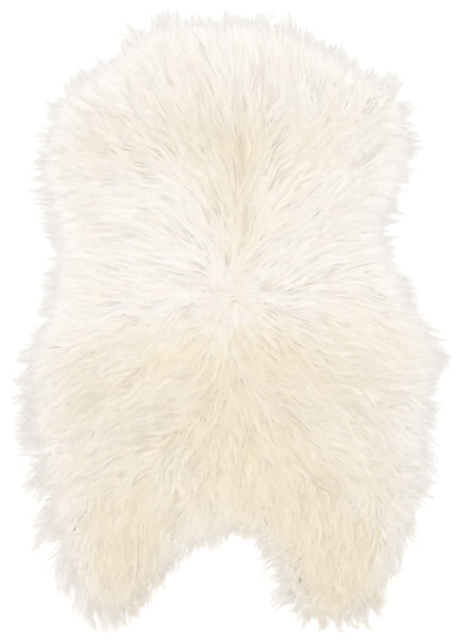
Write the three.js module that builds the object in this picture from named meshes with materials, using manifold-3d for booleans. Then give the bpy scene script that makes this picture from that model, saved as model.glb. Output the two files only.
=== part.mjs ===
// Icelandic sheepskin, laid flat with its wool up.
// It is one tanned skin and the long wool that grows on it. The wool is a lumpy mass that hangs over
// the skin's cut edge and, near the end of its reach, breaks up into locks that lie on the floor.
// Millimetres, +Z up, +Y towards the neck. The origin is under the middle of the whole.

import * as THREE from "three";
import { mergeVertices } from "three/addons/utils/BufferGeometryUtils.js";
import Module from "manifold-3d";

const wasm = await Module();
wasm.setup();

// Driving sizes
const skinThickness = 2;
const clearance = 0.3; // between the skin and the wool
const skinInset = 46; // from the reach of the wool to the cut edge of the skin
const massInset = 27; // from the reach of the wool to where it breaks up into locks
const crownHeight = 52; // top of the wool above the floor, before its tufts
const rimHeight = 13; // the same where the locks part
const shoulderWidth = 105; // over which the wool rounds down to its rim
const swell = { height: 3, length: 200 }; // how the whole mass rises and falls

// Tufts on the wool: each climbs from its root along the lay of the wool and ends in a blunt tip.
const tuftCount = 235;
const tuft = { length: 98, width: 40, height: 17, tipAt: 0.78, taper: 0.55 };

// Locks around the rim. Each leans towards the lay of the wool and sways to one side by up to its
// bend, through an arc of sway radians, so that past a half turn its tip would curl back.
const lockSpacing = 20;
const lock = {
  rootDepth: 24,
  width: 35,
  height: 15,
  lengthSpread: 0.5,
  lean: 1.1,
  bend: 20,
  sway: 2.7,
};

// How finely the shapes are stepped
const outlineSteps = 160;
const gridCell = 15;
const roundingPasses = 5;

// Cuts across the wool from the neck to the feet: how far it reaches either side of the spine line.
// Past the tail there are two legs, each with an inner edge of its own.
const sections = [
  { along: 502, left: -156, right: 100 },
  { along: 470, left: -190, right: 158 },
  { along: 426, left: -236, right: 230 },
  { along: 378, left: -302, right: 300 },
  { along: 300, left: -328, right: 312 },
  { along: 216, left: -338, right: 304 },
  { along: 160, left: -308, right: 264 },
  { along: 92, left: -310, right: 288 },
  { along: 16, left: -320, right: 322 },
  { along: -42, left: -350, right: 368 },
  { along: -102, left: -364, right: 354 },
  { along: -200, left: -344, right: 342 },
  { along: -326, left: -318, right: 324 },
  { along: -396, left: -298, right: 298, innerLeft: -56, innerRight: 48 },
  { along: -450, left: -276, right: 262, innerLeft: -120, innerRight: 66 },
  { along: -508, left: -244, right: 240, innerLeft: -172, innerRight: 86 },
];
const tail = { across: 6, along: -362 };

// The direction that the wool lies in, in degrees anticlockwise from +X, in cuts across the skin.
// Right of the spine the spine's own angle is mirrored, so the wool parts along the back.
const lay = [
  { along: 500, left: 118, leftMid: 104, spine: 90, rightMid: 80, right: 64 },
  { along: 400, left: 140, leftMid: 118, spine: 92, rightMid: 76, right: 48 },
  { along: 300, left: 168, leftMid: 150, spine: 104, rightMid: 58, right: 20 },
  { along: 215, left: 180, leftMid: 170, spine: 200, rightMid: 24, right: 8 },
  { along: 130, left: 182, leftMid: 178, spine: 262, rightMid: 28, right: 16 },
  { along: 40, left: 184, leftMid: 186, spine: 250, rightMid: 10, right: 6 },
  { along: -60, left: 202, leftMid: 210, spine: 262, rightMid: -24, right: -10 },
  { along: -130, left: 208, leftMid: 206, spine: 236, rightMid: -14, right: -24 },
  { along: -200, left: 206, leftMid: 216, spine: 268, rightMid: -32, right: -40 },
  { along: -280, left: 222, leftMid: 246, spine: 270, rightMid: -70, right: -52 },
  { along: -380, left: 258, leftMid: 268, spine: 270, rightMid: -88, right: -62 },
  { along: -480, left: 278, leftMid: 262, spine: 270, rightMid: -96, right: -82 },
];

// Where the wool parts and sinks between heavy locks, and where it stands up in a ridge (depth under 0)
const partings = [
  { name: "shoulder whorl", across: 8, along: 222, angle: 90, length: 74, width: 15, depth: 11 },
  { name: "neck left", across: -152, along: 338, angle: 152, length: 44, width: 13, depth: 9 },
  { name: "shoulder right", across: 150, along: 312, angle: 58, length: 58, width: 15, depth: 8 },
  { name: "waist left", across: -96, along: 128, angle: 118, length: 52, width: 12, depth: 7 },
  { name: "back whorl", across: -4, along: 28, angle: 170, length: 48, width: 14, depth: 10 },
  { name: "loin left", across: -120, along: -52, angle: 205, length: 66, width: 14, depth: 11 },
  { name: "loin right", across: 128, along: -44, angle: 158, length: 60, width: 14, depth: 8 },
  { name: "rump whorl", across: 4, along: -132, angle: 20, length: 62, width: 16, depth: 12 },
  { name: "thigh left", across: -152, along: -192, angle: 206, length: 92, width: 15, depth: 12 },
  { name: "thigh right", across: 196, along: -96, angle: 168, length: 70, width: 14, depth: 9 },
  { name: "hip left", across: -48, along: -236, angle: 62, length: 52, width: 13, depth: 9 },
  { name: "hip right", across: 168, along: -262, angle: 112, length: 60, width: 14, depth: 9 },
  { name: "left leg", across: -196, along: -392, angle: 100, length: 84, width: 16, depth: 9 },
  { name: "right leg", across: 152, along: -400, angle: 84, length: 84, width: 16, depth: 9 },
];

const degrees = Math.PI / 180;

// A repeatable scatter of numbers from 0 to 1.
function scatter(index, salt) {
  const wave = Math.sin(index * 127.1 + salt * 311.7) * 43758.5453;
  return wave - Math.floor(wave);
}

function mix(a, b, t) {
  return a + (b - a) * t;
}

function smooth(t) {
  const s = Math.min(Math.max(t, 0), 1);
  return s * s * (3 - 2 * s);
}

// The two rows of a table on either side of a station along the skin, and the share between them.
function between(table, along) {
  const next = table.findIndex((row) => row.along < along);
  if (next === 0) return [table[0], table[0], 0];
  if (next < 0) return [table.at(-1), table.at(-1), 0];
  const [before, after] = [table[next - 1], table[next]];
  return [before, after, (before.along - along) / (before.along - after.along)];
}

// The direction of the wool at a point, as an angle in radians.
function layAt(x, y) {
  const [a, b, t] = between(sections, y);
  const reach = x < 0 ? -mix(a.left, b.left, t) : mix(a.right, b.right, t);
  const out = Math.min(Math.abs(x) / reach, 1);
  const [c, d, s] = between(lay, y);
  const [mid, edge] = x < 0 ? ["leftMid", "left"] : ["rightMid", "right"];
  const spine = mix(c.spine, d.spine, smooth(s));
  const inner = x < 0 ? spine : 180 - spine;
  const middle = mix(c[mid], d[mid], smooth(s));
  const outer = mix(c[edge], d[edge], smooth(s));
  const angle = out < 0.5 ? mix(inner, middle, out * 2) : mix(middle, outer, out * 2 - 1);
  return angle * degrees;
}

// The reach of the wool as a ring of points, from the neck's right corner round by the right foot.
function woolReach() {
  const legs = sections.filter((row) => row.innerLeft !== undefined);
  const places = [
    ...sections.map((row) => [row.right, row.along]),
    ...legs.toReversed().map((row) => [row.innerRight, row.along]),
    [tail.across, tail.along],
    ...legs.map((row) => [row.innerLeft, row.along]),
    ...sections.toReversed().map((row) => [row.left, row.along]),
  ];
  return evenRing(places.map(([x, y]) => new THREE.Vector2(x, y)));
}

// A closed smooth line through the points, stepped evenly.
function evenRing(points) {
  const line = new THREE.CatmullRomCurve3(
    points.map((p) => new THREE.Vector3(p.x, p.y, 0)),
    true,
    "centripetal",
  );
  return line
    .getSpacedPoints(outlineSteps)
    .slice(0, outlineSteps)
    .map((p) => new THREE.Vector2(p.x, p.y));
}

// Distance from a point to a ring, above 0 inside it.
function depthInside(ring, x, y) {
  let nearest = Infinity;
  let inside = false;
  ring.forEach((a, i) => {
    const b = ring[(i + 1) % ring.length];
    const [dx, dy] = [b.x - a.x, b.y - a.y];
    const along = ((x - a.x) * dx + (y - a.y) * dy) / (dx * dx + dy * dy);
    const t = Math.min(Math.max(along, 0), 1);
    nearest = Math.min(nearest, Math.hypot(a.x + dx * t - x, a.y + dy * t - y));
    if (a.y > y !== b.y > y && x < a.x + ((y - a.y) / dy) * dx) inside = !inside;
  });
  return inside ? nearest : -nearest;
}

// The outward direction at each point of a ring.
function outwards(ring) {
  return ring.map((p, i) => {
    const before = ring.at(i - 1);
    const after = ring[(i + 1) % ring.length];
    const way = new THREE.Vector2(before.y - after.y, after.x - before.x).normalize();
    return depthInside(ring, p.x + way.x, p.y + way.y) > 0 ? way.negate() : way;
  });
}

// A ring with its corners rounded, each point drawn towards the middle of its neighbours.
function rounded(ring, passes) {
  if (passes === 0) return ring;
  const eased = ring.map((p, i) => {
    const neighbours = ring.at(i - 1).clone().add(ring[(i + 1) % ring.length]);
    return p.clone().lerp(neighbours.multiplyScalar(0.5), 0.5);
  });
  return rounded(eased, passes - 1);
}

// A ring moved inwards by a distance. Points that crossed over at a corner are dropped.
function insetRing(ring, distance) {
  const ways = outwards(ring);
  const moved = ring.map((p, i) => p.clone().addScaledVector(ways[i], -distance));
  const kept = moved.filter((p) => depthInside(ring, p.x, p.y) > distance - 0.5);
  return rounded(evenRing(kept), roundingPasses);
}

// An upright block with a ring as its outline.
function blockOf(ring, bottom, top) {
  const made = new THREE.ExtrudeGeometry(new THREE.Shape(ring), {
    depth: top - bottom,
    bevelEnabled: false,
    steps: 1,
  });
  return made.translate(0, 0, bottom);
}

// A long mound at a place, 1 on its middle line and 0 away from it.
function mound(dx, dy, angle, length, width) {
  const along = (dx * Math.cos(angle) + dy * Math.sin(angle)) / length;
  const across = (dy * Math.cos(angle) - dx * Math.sin(angle)) / width;
  return Math.exp(-0.5 * (along * along + across * across));
}

// Tufts on a spiral of even spacing over the skin, a little off their places.
function placeTufts() {
  const goldenTurn = Math.PI * (3 - Math.sqrt(5));
  const half = { x: 370, y: 530 };
  const offPlace = 22;
  return Array.from({ length: tuftCount }, (unused, i) => {
    const out = Math.sqrt((i + 0.5) / tuftCount);
    const turn = i * goldenTurn;
    const x = half.x * out * Math.cos(turn) + offPlace * (scatter(i, 1) - 0.5);
    const y = half.y * out * Math.sin(turn) + offPlace * (scatter(i, 2) - 0.5);
    return { x, y, angle: layAt(x, y), height: tuft.height * mix(0.5, 1, scatter(i, 3)) };
  });
}

// How far a tuft stands up at an offset from its middle.
function tuftRise(dx, dy, angle, height) {
  const along = (dx * Math.cos(angle) + dy * Math.sin(angle)) / tuft.length + 0.5;
  if (along <= 0 || along >= 1) return 0;
  const width = tuft.width * (1 - tuft.taper * along);
  const across = (2 * (dy * Math.cos(angle) - dx * Math.sin(angle))) / width;
  const climb = along < tuft.tipAt ? along / tuft.tipAt : (1 - along) / (1 - tuft.tipAt);
  return height * climb * Math.max(1 - across * across, 0);
}

// The top of the wool above the floor.
function woolTop(x, y, ring, tufts) {
  const rise = Math.min(Math.max(depthInside(ring, x, y) / shoulderWidth, 0), 1);
  const dome = mix(rimHeight, crownHeight, Math.sqrt(1 - (1 - rise) ** 2));
  const wave = swell.height * Math.sin(x / swell.length + 1) * Math.cos(y / swell.length);
  const raised = tufts.map((t) => tuftRise(x - t.x, y - t.y, t.angle, t.height));
  const sunk = partings.map((p) => {
    return p.depth * mound(x - p.across, y - p.along, p.angle * degrees, p.length, p.width);
  });
  const relief = Math.max(...raised) - Math.max(...sunk) + wave;
  return Math.max(dome + relief * mix(0.35, 1, smooth(rise)), rimHeight * 0.6);
}

// A closed geometry from corner positions and the faces between them.
function meshOf(corners, faces) {
  const made = new THREE.BufferGeometry();
  made.setAttribute("position", new THREE.Float32BufferAttribute(corners, 3));
  made.setIndex(faces);
  return made;
}

// The wool as a block whose top follows woolTop, before its outline is cut. Each cell of the top is
// split along the flatter of its two diagonals, so that a tuft is as smooth in every direction.
function woolBlock(ring, tufts) {
  const box = new THREE.Box2().setFromPoints(ring).expandByScalar(gridCell / 2);
  const size = box.getSize(new THREE.Vector2());
  const [columns, rows] = [size.x, size.y].map((side) => Math.round(side / gridCell));
  const corners = [];
  for (let row = 0; row <= rows; row += 1) {
    for (let column = 0; column <= columns; column += 1) {
      const x = mix(box.min.x, box.max.x, column / columns);
      const y = mix(box.min.y, box.max.y, row / rows);
      corners.push(x, y, woolTop(x, y, ring, tufts));
    }
  }
  const at = (column, row) => row * (columns + 1) + column;
  const heightAt = (index) => corners[index * 3 + 2];
  const faces = [];
  for (let row = 0; row < rows; row += 1) {
    for (let column = 0; column < columns; column += 1) {
      const [a, b] = [at(column, row), at(column + 1, row)];
      const [c, d] = [at(column + 1, row + 1), at(column, row + 1)];
      const firstIsFlatter = Math.abs(heightAt(a) - heightAt(c)) < Math.abs(heightAt(b) - heightAt(d));
      faces.push(...(firstIsFlatter ? [a, b, c, a, c, d] : [a, b, d, b, c, d]));
    }
  }
  const under = corners.length / 3;
  const [low, high] = [box.min, box.max];
  corners.push(low.x, low.y, 0, high.x, low.y, 0, high.x, high.y, 0, low.x, high.y, 0);
  faces.push(under, under + 2, under + 1, under, under + 3, under + 2);
  const walls = [
    Array.from({ length: columns + 1 }, (unused, i) => at(i, 0)),
    Array.from({ length: rows + 1 }, (unused, i) => at(columns, i)),
    Array.from({ length: columns + 1 }, (unused, i) => at(columns - i, rows)),
    Array.from({ length: rows + 1 }, (unused, i) => at(0, rows - i)),
  ];
  walls.forEach((edge, side) => {
    const [here, next] = [under + side, under + ((side + 1) % walls.length)];
    edge.slice(1).forEach((corner, i) => faces.push(here, corner, edge[i]));
    faces.push(here, next, edge.at(-1));
  });
  return meshOf(corners, faces);
}

// One lock: a three-sided horn that lies on the floor, from its root in the wool to its tip.
function lockShape(root, way, length, width, height, bend) {
  const stations = [
    { t: 0, share: 0.9 },
    { t: 0.4, share: 1 },
    { t: 0.74, share: 0.64 },
  ];
  const side = new THREE.Vector2(-way.y, way.x);
  const at = (t, across) => {
    const line = root.clone().addScaledVector(way, length * t);
    return line.addScaledVector(side, across + bend * Math.sin(lock.sway * t));
  };
  const corners = stations.flatMap(({ t, share }) => {
    const [left, right, ridge] = [at(t, (width / 2) * share), at(t, (-width / 2) * share), at(t, 0)];
    return [left.x, left.y, 0, right.x, right.y, 0, ridge.x, ridge.y, height * share];
  });
  const tip = at(1, 0);
  corners.push(tip.x, tip.y, 0.2);
  const faces = [0, 1, 2];
  stations.slice(1).forEach((unused, s) => {
    const a = s * 3;
    for (const [i, j] of [
      [0, 1],
      [1, 2],
      [2, 0],
    ]) {
      faces.push(a + i, a + 3 + i, a + j, a + j, a + 3 + i, a + 3 + j);
    }
  });
  const last = (stations.length - 1) * 3;
  faces.push(last, last + 3, last + 1, last + 1, last + 3, last + 2, last + 2, last + 3, last);
  return meshOf(corners, faces);
}

// Locks all round the wool, pointing outwards and along the wool's own direction.
function rimLocks(ring) {
  const ways = outwards(ring);
  const around = ring.reduce((sum, p, i) => sum + p.distanceTo(ring[(i + 1) % ring.length]), 0);
  const count = Math.round(around / lockSpacing);
  return Array.from({ length: count }, (unused, i) => {
    const place = Math.floor((i * ring.length) / count);
    const out = ways[place];
    const angle = layAt(ring[place].x, ring[place].y);
    const lie = new THREE.Vector2(Math.cos(angle), Math.sin(angle));
    const lean = Math.max(lie.dot(out), 0) * lock.lean;
    const way = out.clone().addScaledVector(lie, lean).normalize();
    const root = ring[place].clone().addScaledVector(way, -lock.rootDepth);
    const spread = 1 + lock.lengthSpread * (scatter(i, 5) * 2 - 1);
    const length = lock.rootDepth + massInset * spread;
    const width = lock.width * mix(0.78, 1.05, scatter(i, 6));
    const bend = lock.bend * (scatter(i, 7) * 2 - 1);
    return lockShape(root, way, length, width, lock.height * mix(0.8, 1.1, scatter(i, 8)), bend);
  });
}

// Between three.js geometry and the solids that manifold-3d joins and cuts
function solidOf(geometry) {
  const bare = new THREE.BufferGeometry();
  bare.setAttribute("position", geometry.getAttribute("position"));
  if (geometry.index) bare.setIndex(geometry.index);
  const merged = mergeVertices(bare, 1e-4);
  const vertProperties = new Float32Array(merged.getAttribute("position").array);
  const triVerts = new Uint32Array(merged.index.array);
  return new wasm.Manifold(new wasm.Mesh({ numProp: 3, vertProperties, triVerts }));
}

function geometryOf(solid) {
  const mesh = solid.getMesh();
  const made = new THREE.BufferGeometry();
  made.setAttribute("position", new THREE.BufferAttribute(mesh.vertProperties, 3));
  made.setIndex(new THREE.BufferAttribute(mesh.triVerts, 1));
  made.computeVertexNormals();
  return made;
}

// The wool, with a pocket under it that the skin lies in.
function makeFleece(reach, skinRing) {
  const massRing = insetRing(reach, massInset);
  const tallest = crownHeight * 2;
  const mass = solidOf(woolBlock(massRing, placeTufts()));
  const cut = mass.intersect(solidOf(blockOf(massRing, -1, tallest)));
  const ways = outwards(skinRing);
  const pocketRing = skinRing.map((p, i) => p.clone().addScaledVector(ways[i], clearance));
  const pocket = solidOf(blockOf(pocketRing, -1, skinThickness + clearance));
  const shaggy = rimLocks(massRing).reduce((whole, each) => whole.add(solidOf(each)), cut);
  return geometryOf(shaggy.subtract(pocket));
}

const materials = {
  wool: new THREE.MeshStandardMaterial({ color: 0xf4ebdd, roughness: 0.95, metalness: 0 }),
  hide: new THREE.MeshStandardMaterial({ color: 0xe8dbc4, roughness: 0.85, metalness: 0 }),
};

const reach = woolReach();
const skinRing = insetRing(reach, skinInset);
const sheepskin = new THREE.Group();
const skin = new THREE.Mesh(blockOf(skinRing, 0, skinThickness), materials.hide);
skin.name = "skin";
const fleece = new THREE.Mesh(makeFleece(reach, skinRing), materials.wool);
fleece.name = "fleece";
sheepskin.add(skin, fleece);

// The origin goes under the middle of the whole.
const whole = new THREE.Box3().setFromObject(sheepskin);
const centre = whole.getCenter(new THREE.Vector3());
sheepskin.position.set(-centre.x, -centre.y, -whole.min.z);

export default sheepskin;
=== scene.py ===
import math

import bpy
import numpy as np
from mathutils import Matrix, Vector, geometry
from mathutils.bvhtree import BVHTree


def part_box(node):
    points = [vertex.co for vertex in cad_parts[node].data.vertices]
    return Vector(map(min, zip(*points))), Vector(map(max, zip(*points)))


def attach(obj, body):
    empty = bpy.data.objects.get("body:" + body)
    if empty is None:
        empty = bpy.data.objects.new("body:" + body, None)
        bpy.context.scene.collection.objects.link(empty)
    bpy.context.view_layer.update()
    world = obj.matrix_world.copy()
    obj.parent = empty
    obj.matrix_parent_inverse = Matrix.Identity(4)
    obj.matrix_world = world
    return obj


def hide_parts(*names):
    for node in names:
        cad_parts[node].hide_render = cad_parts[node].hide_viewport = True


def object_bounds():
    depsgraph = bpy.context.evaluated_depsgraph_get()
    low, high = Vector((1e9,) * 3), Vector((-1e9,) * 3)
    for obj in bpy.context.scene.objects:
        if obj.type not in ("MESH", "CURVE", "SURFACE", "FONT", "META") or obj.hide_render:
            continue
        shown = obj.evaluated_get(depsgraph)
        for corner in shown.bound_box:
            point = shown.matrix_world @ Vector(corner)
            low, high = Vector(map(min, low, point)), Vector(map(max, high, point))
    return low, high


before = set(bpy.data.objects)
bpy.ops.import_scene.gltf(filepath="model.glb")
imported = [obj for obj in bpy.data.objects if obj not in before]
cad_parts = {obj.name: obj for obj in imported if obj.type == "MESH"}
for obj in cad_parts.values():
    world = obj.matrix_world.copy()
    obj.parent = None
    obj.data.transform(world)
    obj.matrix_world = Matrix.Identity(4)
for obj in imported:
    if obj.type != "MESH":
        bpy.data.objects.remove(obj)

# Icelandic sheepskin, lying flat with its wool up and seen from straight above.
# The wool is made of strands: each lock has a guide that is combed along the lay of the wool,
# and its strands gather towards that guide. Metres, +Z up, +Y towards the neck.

cadLow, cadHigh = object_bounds()
random = np.random.default_rng(20)
degrees = math.pi / 180

# Where the spine line crosses the middle of the back, in the frame
spineCross = (0.0022, 0.0018)

view = {
    "photoSize": (460, 640),  # pixels
    "metresPerPixel": 0.00165,
    "middle": (-0.0011, 0.0018),  # what lies under the middle of the picture
    "woolHeight": 0.045,  # height of the plane that the scale holds for
    "lens": 120,
    "sensor": 36,
    "softness": 2.4,  # width of the pixel filter: the photo is a little soft
    "farthest": 50,
}

light = {
    "skyStrength": 0.60,
    "skyColour": (1.0, 0.985, 0.965),
    "lamps": [
        {"name": "overheadLight", "strength": 1.38, "spread": 25, "tilt": (0, 0)},
        {"name": "keyLight", "strength": 0.22, "spread": 40, "tilt": (-42, -30)},
    ],
    "bounces": 20,
    "gamma": 1.5,
}

floorLook = {
    "halfSide": 14,
    "colour": (0.97, 0.97, 0.97),
    "roughness": 0.9,
    "glow": 0.55,  # a pale table lit from below, as for a photo without shadows
}

fieldGrid = {"cell": 0.003, "margin": 0.06}

# How far the wool reaches past the cut edge of the skin, and where it reaches more or less far
reach = {
    "past": 0.058,
    "fall": 0.9,  # how strongly the wool turns outwards near the cut edge
    "fallBand": (-0.01, 0.03),  # from full to nothing, in metres inside the cut edge
    "mostPastBox": 0.028,  # past the solids at the sides
    "mostPastEnds": 0.006,  # past the solids at the neck and the feet
}
tufts = [
    {"name": "left of the neck", "at": (-0.155, 0.518), "size": 0.032, "more": 0.095},
    {"name": "middle of the neck", "at": (-0.03, 0.510), "size": 0.020, "more": -0.008},
    {"name": "right of the neck", "at": (0.084, 0.520), "size": 0.032, "more": 0.040},
    {"name": "neck's right corner", "at": (0.175, 0.460), "size": 0.045, "more": 0.016},
    {"name": "neck's left corner", "at": (-0.220, 0.435), "size": 0.035, "more": -0.006},
    {"name": "left shoulder", "at": (-0.280, 0.400), "size": 0.035, "more": 0.010},
    {"name": "left shoulder's side", "at": (-0.335, 0.230), "size": 0.045, "more": 0.014},
    {"name": "right shoulder", "at": (0.290, 0.385), "size": 0.045, "more": 0.026},
    {"name": "right shoulder's wisp", "at": (0.327, 0.277), "size": 0.012, "more": 0.016},
    {"name": "right shoulder's side", "at": (0.300, 0.215), "size": 0.026, "more": 0.032},
    {"name": "right waist", "at": (0.270, 0.180), "size": 0.026, "more": -0.014},
    {"name": "right flank", "at": (0.310, 0.060), "size": 0.050, "more": 0.014},
    {"name": "left waist", "at": (-0.330, 0.150), "size": 0.030, "more": -0.008},
    {"name": "right hip", "at": (0.365, -0.035), "size": 0.045, "more": 0.032},
    {"name": "left hip", "at": (-0.370, -0.080), "size": 0.060, "more": 0.036},
    {"name": "left hip's wisp", "at": (-0.378, -0.118), "size": 0.018, "more": 0.022},
    {"name": "left haunch", "at": (-0.355, -0.225), "size": 0.090, "more": 0.044},
    {"name": "left thigh", "at": (-0.330, -0.320), "size": 0.050, "more": 0.014},
    {"name": "right haunch", "at": (0.340, -0.200), "size": 0.080, "more": 0.006},
    {"name": "left leg", "at": (-0.290, -0.440), "size": 0.070, "more": 0.036},
    {"name": "left foot", "at": (-0.250, -0.512), "size": 0.064, "more": 0.060},
    {"name": "between the legs", "at": (0.010, -0.385), "size": 0.050, "more": -0.012},
    {"name": "right leg", "at": (0.075, -0.480), "size": 0.035, "more": 0.040},
    {"name": "right leg's side", "at": (0.280, -0.420), "size": 0.060, "more": 0.018},
    {"name": "right foot", "at": (0.240, -0.505), "size": 0.045, "more": 0.016},
]

# The lay of the wool, in degrees anticlockwise from +X. Each row is a line across the skin at a
# distance from the spine cross, in metres. left runs from the rim to the spine, right from the
# spine to the rim, at even shares of the reach. Right of the spine the angles fall below 90.
lay = [
    {"along": 0.478, "left": (122, 112, 103, 96, 90), "right": (90, 86, 80, 72, 62)},
    {"along": 0.421, "left": (145, 130, 116, 102, 90), "right": (90, 86, 80, 64, 48)},
    {"along": 0.355, "left": (165, 146, 132, 112, 92), "right": (92, 84, 68, 52, 30)},
    {"along": 0.297, "left": (178, 158, 154, 142, 105), "right": (80, 66, 58, 40, 10)},
    {"along": 0.248, "left": (180, 172, 165, 152, 110), "right": (78, 52, 50, 40, 12)},
    {"along": 0.198, "left": (180, 177, 172, 150, 100), "right": (82, 48, 42, 32, 14)},
    {"along": 0.140, "left": (182, 179, 176, 158, 98), "right": (84, 40, 32, 22, 10)},
    {"along": 0.083, "left": (186, 183, 179, 168, 100), "right": (80, 24, 18, 10, 4)},
    {"along": 0.033, "left": (190, 186, 184, 184, 170), "right": (20, 6, 2, -2, -4)},
    {"along": -0.008, "left": (194, 194, 198, 206, 250), "right": (-70, -12, -10, -12, -6)},
    {"along": -0.058, "left": (198, 205, 214, 224, 262), "right": (-82, -40, -20, -20, -12)},
    {"along": -0.107, "left": (196, 212, 220, 208, 225), "right": (-45, -14, -16, -16, -18)},
    {"along": -0.149, "left": (195, 218, 224, 200, 230), "right": (-60, -20, -32, -44, -30)},
    {"along": -0.198, "left": (208, 214, 209, 205, 268), "right": (-90, -60, -36, -54, -42)},
    {"along": -0.248, "left": (222, 204, 204, 256, 270), "right": (-90, -80, -42, -58, -58)},
    {"along": -0.297, "left": (242, 222, 244, 264, 270), "right": (-90, -82, -92, -78, -62)},
    {"along": -0.347, "left": (264, 270, 276, 254, 268), "right": (-90, -92, -100, -84, -58)},
    {"along": -0.396, "left": (282, 294, 272, 240, 262), "right": (-95, -108, -104, -90, -74)},
    {"along": -0.446, "left": (290, 284, 246, 235, 250), "right": (-100, -105, -100, -92, -82)},
    {"along": -0.495, "left": (276, 268, 258, 250, 250), "right": (-100, -102, -100, -92, -80)},
]

layBlur = 0.012
leastHalfWidth = 0.09  # of a row of the table, where the skin is narrow or ends

# Soft random patches that keep the wool uneven: the lay in radians, the tone in shares
uneven = {
    "lay": [{"size": 0.03, "amount": 0.16}, {"size": 0.013, "amount": 0.12}],
    "tone": [{"size": 0.018, "amount": 0.05}, {"size": 0.007, "amount": 0.03}],
}

# The small whorl on the back, where the wool turns as it parts to all sides
whorl = {"at": (0.006, 0.034), "size": 0.030, "turn": 65}  # metres from the spine cross, degrees
whorlMiddle = {"at": (0.0025, 0.0462), "spread": 0.006, "locks": 18}  # locks that cross its middle

# Places beside the right shoulder and waist where locks part, and short ones cover the gap
thinPlaces = [
    {"at": (0.248, 0.283), "size": 0.011},
    {"at": (0.238, 0.217), "size": 0.011},
    {"at": (0.212, 0.143), "size": 0.009},
    {"at": (0.228, 0.078), "size": 0.009},
]

# Places on the wool, in metres from the spine cross: how wavy, how warm in colour, how open.
# The warm colour is the wool's own yellower patches, and on the spine and the legs also painted shade,
# where the wool lies open and in shadow
places = {
    "neck": {"at": (0.02, 0.42), "size": (0.22, 0.09), "wave": -0.3, "warm": 0.1, "open": -0.2},
    "shoulders": {"at": (-0.03, 0.29), "size": (0.15, 0.055), "wave": 0.25, "warm": 0.7, "open": 0.35},
    "left shoulder": {"at": (-0.15, 0.31), "size": (0.06, 0.06), "wave": 0.2, "warm": -0.25, "open": 0.1},
    "right shoulder": {"at": (0.15, 0.30), "size": (0.08, 0.08), "wave": 0.4, "warm": 0.0, "open": 0.1},
    "spine": {"at": (0.01, 0.17), "size": (0.035, 0.08), "wave": 0.0, "warm": 0.9, "open": 0.3},
    "waist": {"at": (0.0, 0.07), "size": (0.33, 0.09), "wave": -0.3, "warm": -0.15, "open": -0.35},
    "waist spot": {"at": (-0.28, 0.075), "size": (0.025, 0.025), "wave": 0.0, "warm": 0.5, "open": 0.0},
    "back": {"at": (0.0, -0.06), "size": (0.22, 0.05), "wave": 0.1, "warm": 0.65, "open": 0.2},
    "rump": {"at": (0.0, -0.17), "size": (0.13, 0.08), "wave": 0.1, "warm": 0.7, "open": 0.2},
    "left haunch": {"at": (-0.19, -0.16), "size": (0.12, 0.13), "wave": 0.9, "warm": 0.4, "open": 0.55},
    "right haunch": {"at": (0.17, -0.12), "size": (0.12, 0.12), "wave": 0.6, "warm": 0.4, "open": 0.45},
    "tail": {"at": (0.02, -0.29), "size": (0.09, 0.09), "wave": -0.1, "warm": 0.85, "open": -0.1},
    "left leg": {"at": (-0.18, -0.37), "size": (0.10, 0.09), "wave": 0.9, "warm": 0.9, "open": 0.7},
    "left foot": {"at": (-0.17, -0.44), "size": (0.06, 0.05), "wave": 0.5, "warm": 0.9, "open": 0.5},
    "right leg": {"at": (0.17, -0.36), "size": (0.11, 0.09), "wave": 1.0, "warm": 1.1, "open": 0.75},
    "right foot": {"at": (0.18, -0.45), "size": (0.07, 0.05), "wave": 0.5, "warm": 1.0, "open": 0.6},
}

# The wool's surface and partings, before the places above change them
surface = {
    "calmBlur": 0.013,  # how much the fleece's own top is smoothed where the wool is closed
    "openBlur": 0.006,
    "slopeBlur": 0.004,
    "steepest": 0.4,
    "ripple": {"size": 0.016, "amount": 1.6},  # how the phase of the waves changes
    "plainWave": 0.35,
    "mostWave": 1.2,
    "longer": (0.9, 1.6),  # least and most
}
partings = {
    "blur": 0.006,
    "coveredFrom": 12,  # strength of a parting where short locks begin to cover it
    "coveredBy": 57,  # and where they are as thick as they get
    "followed": 25,  # strength from which its locks first run along it
    "alongBlur": 0.016,
    "towardsFeet": 0.12,
    "whorl": {"strength": 90, "size": 0.015, "towardsFeet": 0.7, "feetSize": 0.021},
}


# Fields over the skin, on one grid

cell = fieldGrid["cell"]
columnsX = np.arange(cadLow.x - fieldGrid["margin"], cadHigh.x + fieldGrid["margin"], cell)
rowsY = np.arange(cadLow.y - fieldGrid["margin"], cadHigh.y + fieldGrid["margin"], cell)
gridX, gridY = np.meshgrid(columnsX, rowsY)


def smoothStep(t):
    t = np.clip(t, 0, 1)
    return t * t * (3 - 2 * t)


def rise(values, band):  # from 0 to 1 across the band
    return smoothStep((values - band[0]) / (band[1] - band[0]))


def between(pair, share):
    return pair[0] * (1 - share) + pair[1] * share


def blur(field, size):
    high = np.fft.fftfreq(field.shape[0])[:, None]
    wide = np.fft.rfftfreq(field.shape[1])[None, :]
    keep = np.exp(-2 * (math.pi * size / cell) ** 2 * (wide**2 + high**2))
    return np.fft.irfft2(np.fft.rfft2(field) * keep, s=field.shape)


def patchy(size):  # soft random hills about 0, with a spread of 1
    hills = blur(random.standard_normal(gridX.shape), size)
    return hills / hills.std()


def patches(rows):
    return sum(patchy(row["size"]) * row["amount"] for row in rows)


def hill(at, size):  # 1 at a place, in metres from the spine cross, and less around it
    dx, dy = gridX - spineCross[0] - at[0], gridY - spineCross[1] - at[1]
    return np.exp(-(dx**2 + dy**2) / size**2)


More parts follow.
